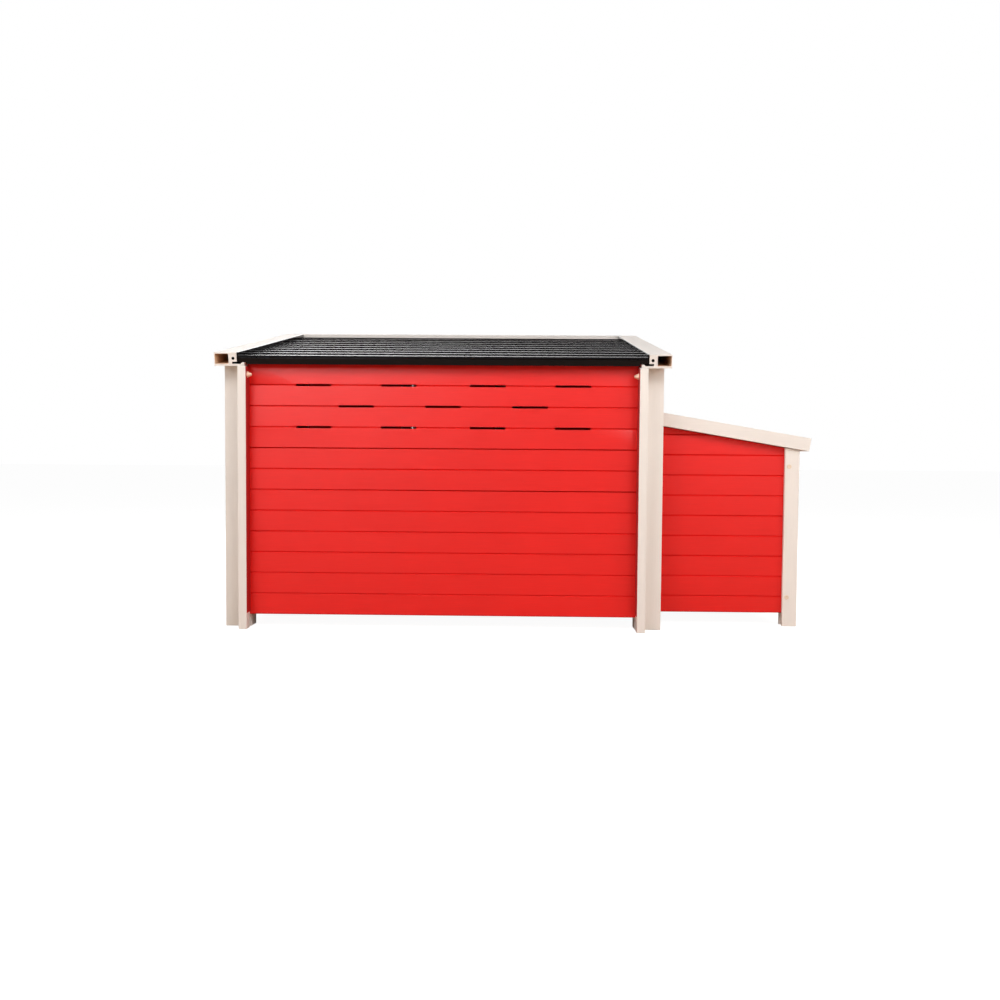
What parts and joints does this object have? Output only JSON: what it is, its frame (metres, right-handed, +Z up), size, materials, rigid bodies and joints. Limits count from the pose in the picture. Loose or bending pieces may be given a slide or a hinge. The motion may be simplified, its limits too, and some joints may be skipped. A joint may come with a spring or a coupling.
{
  "type": "chicken coop",
  "caption": "Lean-to chicken coop of red planks with cream corner posts, stepped black roof, vented back wall, braced front door, ramp door and lidded side nest box.",
  "frame": {"origin": "on the ground, in the middle of the coop's outline", "axes": "+X towards the nest box, along the coop's length; -Y faces the vented back wall under the low eave, +Y the front door; +Z up"},
  "size_m": [2, 1.036, 1.0996],
  "materials": {
    "plank_red": "smooth wood-plastic composite, faint sheen",
    "trim_cream": "smooth cream composite, faint sheen",
    "roof_black": "glossy black moulded board",
    "timber": "planed timber",
    "panel_grey": "matt composite panel",
    "steel": "zinc-plated steel"
  },
  "bodies": {
    "coop": {"corner_post_back_left": "trim_cream", "corner_post_back_right": "trim_cream", "corner_post_front_left": "trim_cream", "corner_post_front_right": "trim_cream", "back_wall_planks": "plank_red", "back_wall_battens": "timber", "left_wall_planks": "plank_red", "nest_opening_frame": "trim_cream", "right_wall_planks": "plank_red", "wall_end_trims": "plank_red", "front_wall_planks": "plank_red", "door_frame": "trim_cream", "roof_side_strips": "roof_black", "roof_rail_left": "trim_cream", "roof_rail_right": "trim_cream", "roof_shingles": "roof_black", "roof_eave_board": "roof_black", "roof_front_cross_rail": "trim_cream", "roof_purlins": "timber", "nest_post_back": "trim_cream", "nest_post_front": "trim_cream", "nest_side_planks": "plank_red", "nest_end_planks": "plank_red", "nest_floor_panel": "panel_grey", "nest_divider": "panel_grey", "nest_bedding_boards": "panel_grey", "floor_panel": "panel_grey", "floor_joists": "timber", "perches": "timber", "perch_sockets": "panel_grey", "door_bolt_keeper": "steel", "ramp_sill_block": "trim_cream", "ramp_button_stud": "steel", "fin_screw_caps": "trim_cream", "nest_screw_caps": "trim_cream", "door_hinge_fixed_leaves": "steel", "door_hinge_pins": "steel", "ramp_hinge_fixed_leaves": "steel", "ramp_hinge_pins": "steel", "lid_hinge_fixed_leaves": "steel", "lid_hinge_pins": "steel"},
    "door": {"door_stiles": "trim_cream", "door_rails": "trim_cream", "door_planks": "plank_red", "door_braces": "trim_cream", "door_pull": "steel", "door_bolt_guide": "steel", "door_hinge_moving_leaves": "steel"},
    "door_bolt": {"door_bolt_rod": "steel"},
    "ramp": {"ramp_board": "plank_red", "ramp_cleats": "trim_cream", "ramp_pull": "steel", "ramp_hinge_moving_leaves": "steel"},
    "ramp_button": {"ramp_turn_button": "trim_cream"},
    "nest_lid": {"lid_side_strips": "roof_black", "lid_side_rails": "trim_cream", "lid_shingles": "roof_black", "lid_eave_board": "roof_black", "lid_top_cross_rail": "trim_cream", "lid_hinge_moving_leaves": "steel"}
  },
  "joints": [
    {"name": "door_hinge", "type": "hinge", "parent": "coop", "child": "door", "pos_m": [-0.453, 0.4965, 0.53], "axis": [0, 0, 1], "range_deg": [0, 110]},
    {"name": "door_bolt_slide", "type": "slide", "parent": "door", "child": "door_bolt", "axis": [1, 0, 0], "range_m": [0, 0.022]},
    {"name": "ramp_hinge", "type": "hinge", "parent": "coop", "child": "ramp", "pos_m": [-0.9875, 0, 0.1161], "axis": [0, -1, 0], "range_deg": [0, 109]},
    {"name": "ramp_button_turn", "type": "hinge", "parent": "coop", "child": "ramp_button", "pos_m": [-0.9865, 0, 0.5061], "axis": [1, 0, 0], "range_deg": [0, 90]},
    {"name": "nest_lid_hinge", "type": "hinge", "parent": "coop", "child": "nest_lid", "pos_m": [0.4725, 0, 0.7412], "axis": [0, -1, 0], "range_deg": [0, 85]}
  ]
}
